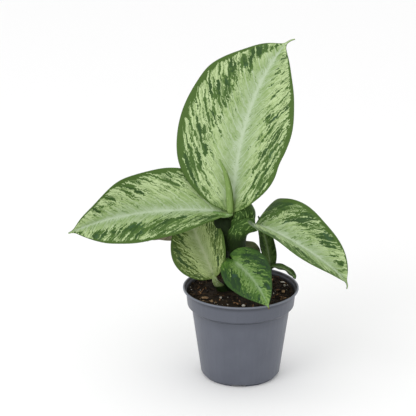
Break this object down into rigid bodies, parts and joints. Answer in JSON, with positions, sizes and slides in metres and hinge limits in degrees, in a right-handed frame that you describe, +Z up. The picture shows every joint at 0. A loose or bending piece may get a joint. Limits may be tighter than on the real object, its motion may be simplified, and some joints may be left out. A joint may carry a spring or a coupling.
{
  "type": "potted dieffenbachia",
  "caption": "Young dieffenbachia with broad marbled cream-and-green leaves on short stalks, growing in soil in a round tapered grey plastic nursery pot with a banded rim.",
  "frame": {"origin": "centre of the pot's flat foot, on the surface that it stands on", "axes": "+Z up along the pot's axis, +X to the right and +Y away from a viewer who faces the front of the plant"},
  "size_m": [0.2799, 0.1562, 0.3432],
  "materials": {
    "pot_plastic": "satin",
    "compost": "matte",
    "stem_skin": "satin",
    "stalk_skin": "satin",
    "young_leaf": "satin",
    "marbled_leaf": "satin",
    "green_leaf": "satin",
    "dry_leaf": "matte",
    "bark": "matte",
    "perlite": "matte"
  },
  "bodies": {
    "root": {"pot": "pot_plastic", "soil": "compost", "stem": "stem_skin", "side_shoot": "stem_skin", "stalk_top": "stalk_skin", "stalk_left": "stalk_skin", "stalk_right": "stalk_skin", "stalk_low_left": "stalk_skin", "stalk_front": "stalk_skin", "stalk_narrow": "stalk_skin", "stalk_strap": "stalk_skin", "stalk_withered": "stalk_skin", "stalk_back": "stalk_skin", "new_leaf": "young_leaf", "leaf_top": "marbled_leaf", "leaf_left": "marbled_leaf", "leaf_right": "marbled_leaf", "leaf_low_left": "marbled_leaf", "leaf_front": "marbled_leaf", "leaf_narrow": "green_leaf", "leaf_strap": "green_leaf", "leaf_back": "green_leaf", "leaf_withered": "dry_leaf", "bark_chip_1": "bark", "bark_chip_2": "bark", "bark_chip_3": "bark", "bark_chip_4": "bark", "perlite_1": "perlite", "perlite_2": "perlite", "perlite_3": "perlite", "perlite_4": "perlite"}
  },
  "joints": []
}
